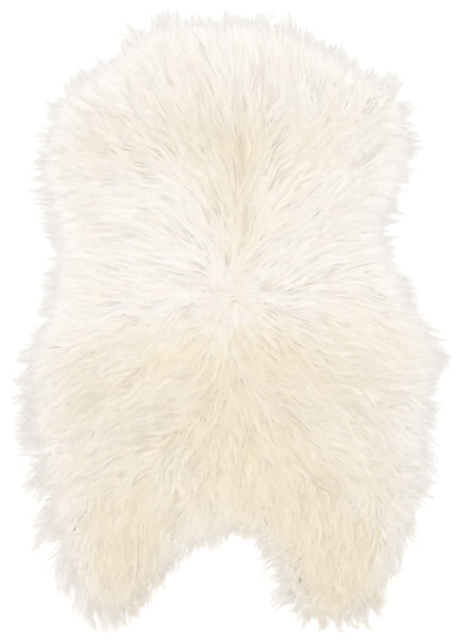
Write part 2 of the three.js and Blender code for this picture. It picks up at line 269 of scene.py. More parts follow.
def sample(field, x, y):
    u = np.clip((x - columnsX[0]) / cell, 0, len(columnsX) - 1.001)
    v = np.clip((y - rowsY[0]) / cell, 0, len(rowsY) - 1.001)
    i, j = u.astype(int), v.astype(int)
    u, v = u - i, v - j
    near = field[j, i] * (1 - u) + field[j, i + 1] * u
    far = field[j + 1, i] * (1 - u) + field[j + 1, i + 1] * u
    return near * (1 - v) + far * v


def edgeDepthField():  # distance inside the cut edge of the skin, below 0 outside it
    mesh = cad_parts["skin"].data
    corners = [v.co.copy() for v in mesh.vertices]
    walls = [list(p.vertices) for p in mesh.polygons if abs(p.normal.z) < 0.5]
    lids = [list(p.vertices) for p in mesh.polygons if p.normal.z > 0.5]
    wallTree = BVHTree.FromPolygons(corners, walls)
    lidTree = BVHTree.FromPolygons(corners, lids)
    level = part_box("skin")[1].z / 2
    depth = np.zeros(gridX.shape)
    for j, y in enumerate(rowsY):
        for i, x in enumerate(columnsX):
            distance = wallTree.find_nearest((x, y, level))[3]
            inside = lidTree.ray_cast((x, y, 1), (0, 0, -1))[0] is not None
            depth[j, i] = distance if inside else -distance
    return depth


def woolTopField():  # height of the fleece's own top, 0 where there is none
    tree = BVHTree.FromPolygons(
        [v.co.copy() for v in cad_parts["fleece"].data.vertices],
        [list(p.vertices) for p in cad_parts["fleece"].data.polygons],
    )
    top = np.zeros(gridX.shape)
    for j, y in enumerate(rowsY):
        for i, x in enumerate(columnsX):
            hit = tree.ray_cast((x, y, 1), (0, 0, -1))[0]
            top[j, i] = hit.z if hit is not None else 0
    return top


def layField(depth):  # the unit way of the wool at each place, as two fields
    inside = depth > -reach["past"]
    spine = spineCross[0]
    leftEnd = np.where(inside, gridX, 9).min(axis=1)
    rightEnd = np.where(inside, gridX, -9).max(axis=1)
    leftEnd = np.minimum(leftEnd, spine - leastHalfWidth)
    rightEnd = np.maximum(rightEnd, spine + leastHalfWidth)
    share = np.where(
        gridX < spine,
        (gridX - spine) / (spine - leftEnd)[:, None],
        (gridX - spine) / (rightEnd - spine)[:, None],
    )
    share = np.clip(share, -1, 1)
    along = np.array([row["along"] for row in lay])[::-1]
    stations = np.linspace(-1, 0, 5)
    leftTable = np.array([row["left"] for row in lay])[::-1]
    rightTable = np.array([row["right"] for row in lay])[::-1]
    y = rowsY - spineCross[1]
    leftRows = np.array([np.interp(y, along, leftTable[:, k]) for k in range(5)]).T
    rightRows = np.array([np.interp(y, along, rightTable[:, k]) for k in range(5)]).T
    angle = np.zeros(gridX.shape)
    for j in range(len(rowsY)):
        left = np.interp(share[j], stations, leftRows[j])
        right = np.interp(share[j], stations + 1, rightRows[j])
        angle[j] = np.where(gridX[j] < spine, left, right)
    angle = angle * degrees
    wayX, wayY = blur(np.cos(angle), layBlur), blur(np.sin(angle), layBlur)
    # Near the cut edge the wool falls outwards over it
    outwardY, outwardX = np.gradient(blur(-depth, layBlur), cell)
    fall = reach["fall"] * (1 - rise(depth, reach["fallBand"]))
    wayX, wayY = wayX + outwardX * fall, wayY + outwardY * fall
    swirl = patches(uneven["lay"]) + whorl["turn"] * degrees * hill(whorl["at"], whorl["size"])
    wayX, wayY = wayX - wayY * swirl, wayY + wayX * swirl
    size = np.maximum(np.hypot(wayX, wayY), 1e-6)
    return wayX / size, wayY / size


def placeField(word):
    made = np.zeros(gridX.shape)
    for place in places.values():
        dx = (gridX - spineCross[0] - place["at"][0]) / place["size"][0]
        dy = (gridY - spineCross[1] - place["at"][1]) / place["size"][1]
        made += place[word] * np.exp(-0.7 * (dx**2 + dy**2))
    return made


def pastField(spread):  # how far the wool reaches past the skin around each place
    made = np.full(gridX.shape, reach["past"])
    for tuft in tufts:
        made += tuft["more"] * hill(tuft["at"], tuft["size"] * spread)
    return made


woolTone = {
    "plain": 0.37,
    # the warm colour is partly painted shade on the spine and the legs
    "warmer": 0.55,  # at a place whose warm value is 1
    # whiter towards the rim: partly the wool's whiter tips, partly painted light that makes up for the
    # shade among the rim's strands
    "rimWhiterAndLit": 0.37,
    "rimBand": (-0.035, 0.055),  # in metres inside the cut edge
    "spread": 0.05,  # random spread, among the locks and again among their strands
    "limits": (0.02, 0.98),
}


def toneOf(x, y):  # 0 is white, 1 is the warmest cream
    # Whiter towards the rim: partly the wool's whiter tips, partly painted light for the shaded rim strands
    rim = 1 - rise(sample(edgeDepth, x, y), woolTone["rimBand"])
    # Warmer at the warm places: the wool's own yellower patches, and on the spine and the legs also painted
    # shade
    return woolTone["plain"] + woolTone["warmer"] * sample(warmthAndShade, x, y) - woolTone["rimWhiterAndLit"] * rim


# Materials

woolColours = {
    "stops": [
        (0.0, (0.990, 0.975, 0.970)),
        (0.35, (0.965, 0.915, 0.850)),
        (0.65, (0.950, 0.865, 0.730)),
        (1.0, (0.915, 0.780, 0.570)),
    ],
    # roots warmer and darker: partly the wool's own creamier roots, partly painted warm shade deep in the
    # fleece
    "rootTintAndShade": (0.99, 0.93, 0.82),
    "streakTint": (0.91, 0.85, 0.75),
    "roughness": 0.6,
    "specular": 0.25,
    "sheen": 0.1,
}

# Fine fibres that run along each strand
fibres = {
    "spread": 2.2,  # change of tone for each metre of a strand's width
    "across": 210,
    "along": 2,
    "scale": 1,
    "detail": 2,
    "streaks": (0.30, 0.50),  # noise below the first is a full streak, above the second none
    "bump": 0.5,
    "bumpHeight": 0.0005,
}

# Matted short fibres of the underwool
matting = {"scale": 260, "detail": 3, "twist": 1.5, "bump": 0.5, "bumpHeight": 0.001}

suede = {
    "cloud": {"scale": 9, "detail": 6},
    "grain": {"scale": 420, "detail": 3},
    "grainShare": 0.18,
    "stops": [(0.3, (0.74, 0.62, 0.45)), (0.7, (0.84, 0.75, 0.60))],
    "bump": 0.35,
    "bumpHeight": 0.0004,
    "roughness": 0.92,
    "specular": 0.2,
    "sheen": 0.2,
}


def newMaterial(name):
    material = bpy.data.materials.new(name)
    material.use_nodes = True
    return material, material.node_tree.nodes, material.node_tree.links


def newGroup(name, inputs, outputs):
    group = bpy.data.node_groups.new(name, "ShaderNodeTree")
    for label, kind, value in inputs:
        socket = group.interface.new_socket(label, in_out="INPUT", socket_type=kind)
        socket.default_value = value
    for label, kind in outputs:
        group.interface.new_socket(label, in_out="OUTPUT", socket_type=kind)
    start = group.nodes.new("NodeGroupInput")
    end = group.nodes.new("NodeGroupOutput")
    return group, start, end


def fillRamp(node, stops):
    ramp = node.color_ramp
    while len(ramp.elements) < len(stops):
        ramp.elements.new(1)
    for element, (place, colour) in zip(ramp.elements, stops):
        element.position = place
        element.color = (*colour, 1)


def mixColours(tree, blend, factor, first, second):  # each is a value or a socket
    node = tree.nodes.new("ShaderNodeMix")
    node.data_type = "RGBA"
    node.blend_type = blend
    for name, given in (("Factor", factor), ("A", first), ("B", second)):
        if isinstance(given, bpy.types.NodeSocket):
            tree.links.new(given, node.inputs[name])
        else:
            node.inputs[name].default_value = (*given, 1) if isinstance(given, tuple) else given
    return node.outputs["Result"]


def makeWoolGroup():  # tone goes from white to warm, along from a strand's root to its tip
    inputs = [
        ("Tone", "NodeSocketFloat", 0.5),
        ("Along", "NodeSocketFloat", 0.5),
        ("Streak", "NodeSocketFloat", 1.0),
    ]
    group, start, end = newGroup("woolColour", inputs, [("Color", "NodeSocketColor")])
    ramp = group.nodes.new("ShaderNodeValToRGB")
    fillRamp(ramp, woolColours["stops"])
    # Towards the root the colour turns warmer and darker, fading out by 0.6 of a strand's length: partly
    # the wool's own creamier roots, partly painted warm shade down in the fleece
    depth = group.nodes.new("ShaderNodeMapRange")
    depth.inputs["From Max"].default_value = 0.6
    group.links.new(start.outputs["Tone"], ramp.inputs["Fac"])
    group.links.new(start.outputs["Along"], depth.inputs["Value"])
    rooted = mixColours(group, "MIX", depth.outputs["Result"], woolColours["rootTintAndShade"], (1.0, 1.0, 1.0))
    streaked = mixColours(group, "MIX", start.outputs["Streak"], woolColours["streakTint"], (1.0, 1.0, 1.0))
    product = mixColours(group, "MULTIPLY", 1.0, ramp.outputs["Color"], rooted)
    product = mixColours(group, "MULTIPLY", 1.0, product, streaked)
    group.links.new(product, end.inputs["Color"])
    return group


def attribute(nodes, name):
    node = nodes.new("ShaderNodeAttribute")
    node.attribute_name = name
    return node.outputs["Fac"]


def addNoise(nodes, look):
    noise = nodes.new("ShaderNodeTexNoise")
    noise.inputs["Scale"].default_value = look["scale"]
    noise.inputs["Detail"].default_value = look["detail"]
    noise.inputs["Distortion"].default_value = look.get("twist", 0)
    return noise


def addBump(nodes, look):
    bump = nodes.new("ShaderNodeBump")
    bump.inputs["Strength"].default_value = look["bump"]
    bump.inputs["Distance"].default_value = look["bumpHeight"]
    return bump


def setGloss(shader, look):
    shader.inputs["Roughness"].default_value = look["roughness"]
    shader.inputs["Specular IOR Level"].default_value = look["specular"]
    shader.inputs["Sheen Weight"].default_value = look["sheen"]


def woolShader(name, woolGroup):
    material, nodes, links = newMaterial(name)
    shader = nodes["Principled BSDF"]
    setGloss(shader, woolColours)
    group = nodes.new("ShaderNodeGroup")
    group.node_tree = woolGroup
    links.new(attribute(nodes, "tone"), group.inputs["Tone"])
    links.new(attribute(nodes, "along"), group.inputs["Along"])
    links.new(group.outputs["Color"], shader.inputs["Base Color"])
    return material, nodes, links, shader, group


def makeStrandMaterial(woolGroup):
    material, nodes, links, shader, group = woolShader("woolStrands", woolGroup)
    across = nodes.new("ShaderNodeMath")
    across.operation = "MULTIPLY"
    across.inputs[1].default_value = fibres["across"]
    along = nodes.new("ShaderNodeMath")
    along.operation = "MULTIPLY"
    along.inputs[1].default_value = fibres["along"]
    place = nodes.new("ShaderNodeCombineXYZ")
    noise = addNoise(nodes, fibres)
    spread = nodes.new("ShaderNodeMapRange")
    spread.inputs["From Min"].default_value = fibres["streaks"][0]
    spread.inputs["From Max"].default_value = fibres["streaks"][1]
    bump = addBump(nodes, fibres)
    links.new(attribute(nodes, "tone"), across.inputs[0])
    links.new(attribute(nodes, "along"), along.inputs[0])
    links.new(across.outputs[0], place.inputs["X"])
    links.new(along.outputs[0], place.inputs["Y"])
    links.new(place.outputs["Vector"], noise.inputs["Vector"])
    links.new(noise.outputs["Fac"], spread.inputs["Value"])
    links.new(spread.outputs["Result"], group.inputs["Streak"])
    links.new(spread.outputs["Result"], bump.inputs["Height"])
    links.new(bump.outputs["Normal"], shader.inputs["Normal"])
    return material


def makeUnderMaterial(woolGroup):
    material, nodes, links, shader, group = woolShader("woolUnder", woolGroup)
    where = nodes.new("ShaderNodeTexCoord")
    noise = addNoise(nodes, matting)
    bump = addBump(nodes, matting)
    links.new(where.outputs["Object"], noise.inputs["Vector"])
    links.new(noise.outputs["Fac"], group.inputs["Streak"])
    links.new(noise.outputs["Fac"], bump.inputs["Height"])
    links.new(bump.outputs["Normal"], shader.inputs["Normal"])
    return material


def makeHideMaterial():
    material, nodes, links = newMaterial("suede")
    shader = nodes["Principled BSDF"]
    setGloss(shader, suede)
    where = nodes.new("ShaderNodeTexCoord")
    cloud, grain = addNoise(nodes, suede["cloud"]), addNoise(nodes, suede["grain"])
    ramp = nodes.new("ShaderNodeValToRGB")
    fillRamp(ramp, suede["stops"])
    share, plain = suede["grainShare"], ramp.outputs["Color"]
    nap = mixColours(material.node_tree, "MULTIPLY", share, plain, grain.outputs["Color"])
    bump = addBump(nodes, suede)
    for noise in (cloud, grain):
        links.new(where.outputs["Object"], noise.inputs["Vector"])
    links.new(cloud.outputs["Fac"], ramp.inputs["Fac"])
    links.new(nap, shader.inputs["Base Color"])
    links.new(grain.outputs["Fac"], bump.inputs["Height"])
    links.new(bump.outputs["Normal"], shader.inputs["Normal"])
    return material


# Camera, light and floor


def makeCamera():
    camera = bpy.data.objects.new("camera", bpy.data.cameras.new("camera"))
    bpy.context.scene.collection.objects.link(camera)
    bpy.context.scene.camera = camera
    camera.data.lens = view["lens"]
    camera.data.sensor_width = view["sensor"]
    longSide = max(view["photoSize"]) * view["metresPerPixel"]
    distance = view["lens"] * longSide / view["sensor"]
    camera.location = (*view["middle"], view["woolHeight"] + distance)
    camera.data.clip_end = view["farthest"]


def makeLights():
    world = bpy.data.worlds.new("studio")
    bpy.context.scene.world = world
    world.use_nodes = True
    sky = world.node_tree.nodes["Background"]
    sky.inputs["Color"].default_value = (*light["skyColour"], 1)
    sky.inputs["Strength"].default_value = light["skyStrength"]
    for lamp in light["lamps"]:
        made = bpy.data.objects.new(lamp["name"], bpy.data.lights.new(lamp["name"], "SUN"))
        made.data.energy = lamp["strength"]
        made.data.angle = lamp["spread"] * degrees
        made.rotation_euler = (lamp["tilt"][0] * degrees, lamp["tilt"][1] * degrees, 0)
        bpy.context.scene.collection.objects.link(made)
    scene = bpy.context.scene
    scene.view_settings.view_transform = "Standard"
    scene.view_settings.gamma = light["gamma"]
    scene.cycles.max_bounces = light["bounces"] + 2
    scene.cycles.diffuse_bounces = light["bounces"]
    scene.cycles.filter_width = view["softness"]


def makeFloor():
    mesh = bpy.data.meshes.new("floor")
    far = floorLook["halfSide"]
    corners = [(-far, -far, 0), (far, -far, 0), (far, far, 0), (-far, far, 0)]
    mesh.from_pydata(corners, [], [(0, 1, 2, 3)])
    floor = bpy.data.objects.new("floor", mesh)
    bpy.context.scene.collection.objects.link(floor)
    material, nodes, links = newMaterial("paleFloor")
    shader = nodes["Principled BSDF"]
    shader.inputs["Base Color"].default_value = (*floorLook["colour"], 1)
    shader.inputs["Roughness"].default_value = floorLook["roughness"]
    shader.inputs["Specular IOR Level"].default_value = 0
    shader.inputs["Emission Color"].default_value = (1, 1, 1, 1)
    shader.inputs["Emission Strength"].default_value = floorLook["glow"]
    mesh.materials.append(material)


print("camera, lights and floor")
makeCamera()
makeLights()
makeFloor()

print("fields over the skin")
edgeDepth = edgeDepthField()
topHeight = woolTopField()
wayX, wayY = layField(edgeDepth)
waviness = np.clip(surface["plainWave"] + placeField("wave"), 0, surface["mostWave"])
# the warm places: the wool's own yellower patches, and on the spine and the legs also painted shade
warmthAndShade = placeField("warm")
openness = np.clip(placeField("open"), 0, 1)
calmTop, openTop = blur(topHeight, surface["calmBlur"]), blur(topHeight, surface["openBlur"])
woolTop = calmTop * (1 - openness) + openTop * openness
slopeY, slopeX = np.gradient(blur(woolTop, surface["slopeBlur"]), cell)
steep = np.maximum(np.hypot(slopeX, slopeY) / surface["steepest"], 1)
slopeX, slopeY = slopeX / steep, slopeY / steep
past = pastField(1)
longer = np.clip(pastField(2) / reach["past"], *surface["longer"])  # long wool grows behind a tuft
ripple = blur(random.uniform(-1, 1, gridX.shape), surface["ripple"]["size"])
ripple = ripple / ripple.std() * surface["ripple"]["amount"]
mottle = patches(uneven["tone"])
parting = blur(np.gradient(wayX, cell, axis=1) + np.gradient(wayY, cell, axis=0), partings["blur"])
atWhorl = partings["whorl"]
parting = parting + atWhorl["strength"] * hill(whorl["at"], atWhorl["size"])
# Where the wool parts, its locks first run along the parting and then turn away from it
alongX, alongY = blur(wayX, partings["alongBlur"]), blur(wayY, partings["alongBlur"])
alongY = alongY - partings["towardsFeet"] - atWhorl["towardsFeet"] * hill(whorl["at"], atWhorl["feetSize"])
alongSize = np.maximum(np.hypot(alongX, alongY), 1e-6)
partingShare = np.clip(parting / partings["followed"], 0, 1)
driftX, driftY = alongX / alongSize * partingShare, alongY / alongSize * partingShare

woolGroup = makeWoolGroup()
strandMaterial = makeStrandMaterial(woolGroup)


def addPiece(name, mesh, node):
    piece = bpy.data.objects.new(name, mesh)
    bpy.context.scene.collection.objects.link(piece)
    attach(piece, "root")
    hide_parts(node)
    return piece


# The tanned skin, flesh side down

print("skin")

hide = {
    "name": "hide",
    "cell": 0.008,
    "keepOff": 0.7,  # share of a cell by which the inner corners keep off the cut edge
    "rise": 0.0006,  # how far the flesh side puckers up from the floor
    "puckerSize": 0.012,
    "edgeBand": 0.004,  # how far in the upper side rounds down to the cut edge
    "edgeDrop": 0.0008,
}


def hideRing():  # the cut edge of the skin, in order
    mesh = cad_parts["skin"].data
    edges = set()
    for face in mesh.polygons:
        if face.normal.z > 0.5:
            corners = [mesh.vertices[k].co for k in face.vertices]
            corners = [(round(c.x, 6), round(c.y, 6)) for c in corners]
            edges |= set(zip(corners, corners[1:] + corners[:1]))
    following = {a: b for a, b in edges if (b, a) not in edges}
    ring = [min(following)]
    while following[ring[-1]] != ring[0]:
        ring.append(following[ring[-1]])
    return ring


def ringArea(ring):
    return abs(sum(a[0] * b[1] - b[0] * a[1] for a, b in zip(ring, ring[1:] + ring[:1]))) / 2


def makeHide():
    ring = hideRing()
    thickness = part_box("skin")[1].z
    step = int(round(hide["cell"] / cell))
    inner = edgeDepth[::step, ::step] > hide["cell"] * hide["keepOff"]
    count = len(ring)
    corners = ring + list(zip(gridX[::step, ::step][inner], gridY[::step, ::step][inner]))
    edges = [(k, (k + 1) % count) for k in range(count)]
    found = geometry.delaunay_2d_cdt([Vector(c) for c in corners], edges, [], 1, 1e-6)
    flat, faces = np.array([tuple(c) for c in found[0]]), np.array(found[2])
    pucker = smoothStep(0.5 + patchy(hide["puckerSize"]) * 0.35)
    low = sample(pucker, flat[:, 0], flat[:, 1]) * hide["rise"]
    deep = sample(edgeDepth, flat[:, 0], flat[:, 1])
    high = thickness - hide["edgeDrop"] * (1 - smoothStep(deep / hide["edgeBand"]))
    total = len(flat)
    corners = np.concatenate([np.column_stack([flat, low]), np.column_stack([flat, high])])
    used = {}
    for face in faces.tolist():
        for a, b in zip(face, face[1:] + face[:1]):
            used[(a, b)] = True
    rim = [(a, b) for a, b in used if (b, a) not in used]
    walls = [(a + total, a, b, b + total) for a, b in rim]
    polygons = (faces + total).tolist() + faces[:, ::-1].tolist() + walls
    mesh = bpy.data.meshes.new(hide["name"])
    mesh.from_pydata(corners.tolist(), [], polygons)
    mesh.shade_smooth()
    for polygon in list(mesh.polygons)[-len(walls) :]:
        polygon.use_smooth = False
    mesh.materials.append(makeHideMaterial())
    piece = addPiece(hide["name"], mesh, "skin")
    return piece, ringArea(ring)


hidePiece, hideArea = makeHide()


# Short wool close to the skin, which fills the gaps between the locks

print("underwool")

underWool = {
    "name": "underwool",
    "cell": 0.012,
    "share": 0.935,  # of the height of the wool
    "dip": 0.06,  # how much less where the wool parts
    "pastSkin": 0.008,
    "edgeRound": 0.03,
    "bottom": (0.0027, 0.0008),  # over the skin, and past its edge
    "clear": 0.004,  # how far past the edge the bottom still lies above the skin
    "thinnest": 0.0012,
    # painted warm shade: the underwool lies deep between the locks, so it is made warmer than the strands
    # and takes part of the roots' painted shade at its along share
    "warmer": 0.15,
    "along": 0.45,  # it has the colour of a strand at this share of its length
}


def makeUnderWool():
    step = int(round(underWool["cell"] / cell))
    x, y = gridX[::step, ::step], gridY[::step, ::step]
    depth = edgeDepth[::step, ::step] + underWool["pastSkin"]
    inside = depth > 0
    kept = inside[:-1, :-1] & inside[1:, :-1] & inside[:-1, 1:] & inside[1:, 1:]
    number = -np.ones(x.shape, int)
    used = np.zeros(x.shape, bool)
    for dj, di in ((0, 0), (0, 1), (1, 0), (1, 1)):
        used[dj : dj + kept.shape[0], di : di + kept.shape[1]] |= kept
    number[used] = np.arange(used.sum())
    rounding = np.sqrt(1 - (1 - np.clip(depth[used] / underWool["edgeRound"], 0, 1)) ** 2)
    low = np.where(depth[used] > underWool["pastSkin"] - underWool["clear"], *underWool["bottom"])
    share = underWool["share"] - underWool["dip"] * partingShare[::step, ::step][used]
    top = np.maximum(low + underWool["thinnest"], woolTop[::step, ::step][used] * share * rounding)
    count = int(used.sum())
    upper = np.stack([x[used], y[used], top], 1)
    under = np.stack([x[used], y[used], low], 1)
    a, b = number[:-1, :-1][kept], number[:-1, 1:][kept]
    c, d = number[1:, 1:][kept], number[1:, :-1][kept]
    quads = [np.stack([a, b, c, d], 1), np.stack([d, c, b, a], 1) + count]
    padded = np.pad(kept, 1)
    near = padded[1:-1, 1:-1]
    for missing, first, second in (
        (near & ~padded[:-2, 1:-1], number[:-1, 1:], number[:-1, :-1]),
        (near & ~padded[2:, 1:-1], number[1:, :-1], number[1:, 1:]),
        (near & ~padded[1:-1, :-2], number[:-1, :-1], number[1:, :-1]),
        (near & ~padded[1:-1, 2:], number[1:, 1:], number[:-1, 1:]),
    ):
        f, s = first[missing], second[missing]
        quads.append(np.stack([f, s, s + count, f + count], 1))
    quads = np.concatenate(quads)
    mesh = bpy.data.meshes.new(underWool["name"])
    mesh.from_pydata(np.concatenate([upper, under]).tolist(), [], quads.tolist())
    mesh.shade_smooth()
    # Painted warm shade: the underwool's tone is raised warmer, down between the locks
    tones = np.tile(toneOf(x[used], y[used]), 2) + underWool["warmer"]
    for word, values in (("tone", tones), ("along", np.full(count * 2, underWool["along"]))):
        made = mesh.attributes.new(word, "FLOAT", "POINT")
        made.data.foreach_set("value", values.astype(np.float32))
    mesh.materials.append(makeUnderMaterial(woolGroup))
    return addPiece(underWool["name"], mesh, "fleece")


woolPieces = [makeUnderWool()]


# Strands


def combedPaths(rootX, rootY, length, steps, wobble, tousled):
    paths = np.zeros((len(rootX), steps + 1, 2))
    paths[:, 0] = np.stack([rootX, rootY], 1)
    stride = (length / steps)[:, None]
    for k in range(steps):
        here = paths[:, k]
        way = np.stack([sample(wayX, here[:, 0], here[:, 1]), sample(wayY, here[:, 0], here[:, 1])], 1)
        way = way + tousled * (1 - k / steps) ** 2
        turn = wobble * (k / steps)
        cosTurn, sinTurn = np.cos(turn), np.sin(turn)
        turned = np.stack(
            [way[:, 0] * cosTurn - way[:, 1] * sinTurn, way[:, 0] * sinTurn + way[:, 1] * cosTurn], 1
        )
        turned /= np.maximum(np.linalg.norm(turned, axis=1, keepdims=True), 1e-6)
        paths[:, k + 1] = here + turned * stride
    return paths


def resample(paths, shares):
    steps = paths.shape[1] - 1
    u = np.clip(shares * steps, 0, steps - 1e-6)
    k = u.astype(int)
    f = (u - k)[..., None]
    rows = np.arange(len(paths))[:, None]
    return paths[rows, k] * (1 - f) + paths[rows, k + 1] * f


def unit(vectors):
    return vectors / np.maximum(np.linalg.norm(vectors, axis=-1, keepdims=True), 1e-9)


def tubesMesh(name, strands, flat, roundness, material):
    points, widths, facing = strands["points"], strands["widths"], strands["facing"]
    tone, along = strands["tone"], strands["along"]
    count, rings = points.shape[:2]
    ahead = np.empty_like(points)
    ahead[:, 1:-1] = points[:, 2:] - points[:, :-2]
    ahead[:, 0] = points[:, 1] - points[:, 0]
    ahead[:, -1] = points[:, -1] - points[:, -2]
    ahead = unit(ahead)
    side = unit(np.cross(ahead, np.array([0.0, 0.0, 1.0])))
    above = np.cross(side, ahead)
    half = widths[:, :, None] / 2
    lifted = half * flat
    left = points - side * half - above * lifted * 0.5
    right = points + side * half - above * lifted * 0.5
    ridge = points + above * lifted
    body = np.stack([left, right, ridge], 2)[:, :-1]  # the last ring is drawn together to a tip
    perStrand = (rings - 1) * 3 + 1
    corners = np.concatenate([body.reshape(count, -1, 3), points[:, -1:]], 1)
    # The wool is shaded as a soft whole: each strand only bends the facing of its lock a little
    soft = unit(facing - ahead * np.sum(facing * ahead, axis=2, keepdims=True) * strands["lean"][..., None])
    turned = np.stack([unit(soft - side * roundness), unit(soft + side * roundness), soft], 2)[:, :-1]
    normals = np.concatenate([turned.reshape(count, -1, 3), soft[:, -1:]], 1).reshape(-1, 3)
    faces = [(0, 1, 2)]
    for k in range(rings - 2):
        a, b = k * 3, k * 3 + 3
        for i, j in ((0, 1), (1, 2), (2, 0)):
            faces += [(a + i, b + i, a + j), (a + j, b + i, b + j)]
    last, tip = (rings - 2) * 3, perStrand - 1
    faces += [(last, tip, last + 1), (last + 1, tip, last + 2), (last + 2, tip, last)]
    faces = np.array(faces)
    every = (faces[None] + (np.arange(count) * perStrand)[:, None, None]).reshape(-1)
    mesh = bpy.data.meshes.new(name)
    mesh.vertices.add(count * perStrand)
    mesh.vertices.foreach_set("co", corners.astype(np.float32).ravel())
    mesh.loops.add(len(every))
    mesh.loops.foreach_set("vertex_index", every.astype(np.int32))
    mesh.polygons.add(len(every) // 3)
    mesh.polygons.foreach_set("loop_start", np.arange(0, len(every), 3, dtype=np.int32))
    mesh.polygons.foreach_set("use_smooth", np.ones(len(every) // 3, bool))
    mesh.update(calc_edges=True)
    mesh.normals_split_custom_set_from_vertices(normals.tolist())
    # The tone also runs a little from one side of a strand to the other, which spreads its fibres
    spread = widths.max(axis=1)[:, None] * fibres["spread"]
    around = spread * np.tile([-1.0, 1.0, 0.0], rings - 1)
    tones = np.concatenate([np.repeat(tone[:, None], (rings - 1) * 3, 1) + around, tone[:, None]], 1)
    shares = np.concatenate([np.repeat(along[:, :-1], 3, 1), along[:, -1:]], 1)
    for word, values in (("tone", tones), ("along", shares)):
        made = mesh.attributes.new(word, "FLOAT", "POINT")
        made.data.foreach_set("value", values.astype(np.float32).ravel())
    chart = mesh.uv_layers.new(name="OFBake")
    flatPlaces = np.stack([tones.ravel(), shares.ravel()], 1)[every] * 0.96 + 0.02
    capCorner = (np.arange(len(every)) % (len(faces) * 3)) == 2
    flatPlaces[capCorner, 1] += 0.01  # the root's cap keeps some width on the chart
    chart.data.foreach_set("uv", flatPlaces.astype(np.float32).ravel())
    mesh.materials.append(material)
    return addPiece(name, mesh, "fleece")


def placeRoots(spacing, chance=None):
    x = np.arange(cadLow.x, cadHigh.x, spacing)
    y = np.arange(cadLow.y, cadHigh.y, spacing * 0.866)
    rootX, rootY = np.meshgrid(x, y)
    rootX = rootX + (np.arange(len(y)) % 2)[:, None] * spacing / 2
    rootX = (rootX + random.uniform(-0.45, 0.45, rootX.shape) * spacing).ravel()
    rootY = (rootY + random.uniform(-0.45, 0.45, rootY.shape) * spacing).ravel()
    grows = sample(edgeDepth, rootX, rootY) > 0.002
    if chance is not None:
        grows &= random.uniform(0, 1, len(rootX)) < sample(chance, rootX, rootY)
    return rootX[grows], rootY[grows]


# A pair is the value of a closed, calm place and of an open one, where the locks show, unless
# a note says otherwise. In varies, strandVaries and pace it is the least and the most.
wool = {
    "lockSpacing": 0.0175,
    "strandsPerLock": 11,
    "coreStrands": 3,  # of them, the broad ones that fill the inside of a lock
    "lockLength": (0.080, 0.130),  # least and most
    "lockWidth": 0.030,  # at the roots
    "lockTipWidth": (0.026, 0.008),
    "lockHeight": (0.003, 0.0075),
    "lockLift": (0.0003, 0.0016),
    "lockRound": (0.06, 0.28),
    "wander": (0.18, 0.38),
    "tousled": 0.1,  # how far the roots turn from the lay of the wool
    "drift": 0.8,  # how far they turn along a parting
    "rootHeight": 0.90,  # share of the wool's own height at which the strands are rooted
    "tipHeight": 0.97,
    "heights": (0.0022, 0.008),  # lowest above the floor, and highest above the solids
    "varies": (0.8, 1.25),  # least and most share of a lock's width and of its wave's length
    "overhang": (0.5, 1.4),  # least and most share of the wool's reach past the edge
    "gathered": 0.85,  # share of its length by which a lock has its tip's width
    "risen": 0.4,  # and by which its strands have come up to the tips' height
    "lifted": 0.5,  # and by which it lies as much above or below the others as it gets
    "around": (-0.15, math.pi + 0.15),  # radians round a lock's upper side where its strands lie
    "coreAcross": (-0.9, 0.9),  # shares of a lock's half width and height, for its broad strands
    "coreOver": (-0.6, 0.0),
    "wave": {
        "height": 0.0056,
        "length": 0.056,
        "varies": (0.5, 1.4),
        "leastSteps": 4.2,  # its least length, so that long strands have no kinks
        "full": 0.3,  # share of its length by which a lock sways fully
        "ripple": 2.5,  # how much the phase changes across the wool
        "phase": (0.6, 0.25),  # its random spread among the locks and within one
        "pace": (0.97, 1.03),
    },
    "strandWidth": 0.0016,
    "strandVaries": (0.7, 1.2),
    "coreWidth": 0.0065,
    "rimThinner": (0.55, 0.6),  # how much thinner the strands and the broad ones get past the edge
    "rimBand": 0.04,
    "rootTaper": 0.2,
    "starts": 0.22,  # share of the lock along which its strands begin
    "ends": 0.78,  # share of the lock from which they end
    "steps": 7,
    "guideSteps": 24,
    "stray": 0.05,  # share of strands that leave their lock
    "strayWidth": 1.7,
    "strayWay": 0.010,
    "flat": 0.28,
    "strandRound": 0.13,
    "lean": (0.5, 0.1),  # how much the shading follows a strand's own slope, inside and past the edge
}

# Short locks that cover the places where the wool parts
partingWool = {
    **wool,
    "lockSpacing": 0.0085,
    "lockLength": (0.04, 0.07),
    "lockWidth": 0.022,
    "overhang": (0.55, 1.1),
    "wander": (0.4, 0.4),
    "tousled": 0.5,
    "drift": 3.2,
    "rootHeight": 0.93,
    "rootTaper": 0.06,
    "starts": 0.04,
}

# Locks that set off to any side from the whorl's middle
whorlWool = {**partingWool, "tousled": 3.0, "drift": 0.0, "lockLength": (0.035, 0.055)}

# Fine single hairs past the rim
fringe = {
    **wool,
    "lockSpacing": 0.011,
    "strandsPerLock": 8,
    "coreStrands": 0,
    "lockLength": (0.075, 0.125),
    "lockWidth": 0.05,
    "lockTipWidth": (0.05, 0.035),
    "overhang": (0.75, 1.55),
    "wander": (0.5, 0.6),
    "strandWidth": 0.0008,
    "steps": 5,
    "rootBand": 0.05,  # how far in from the edge it still grows
    "rootChance": 0.9,  # at the edge
}


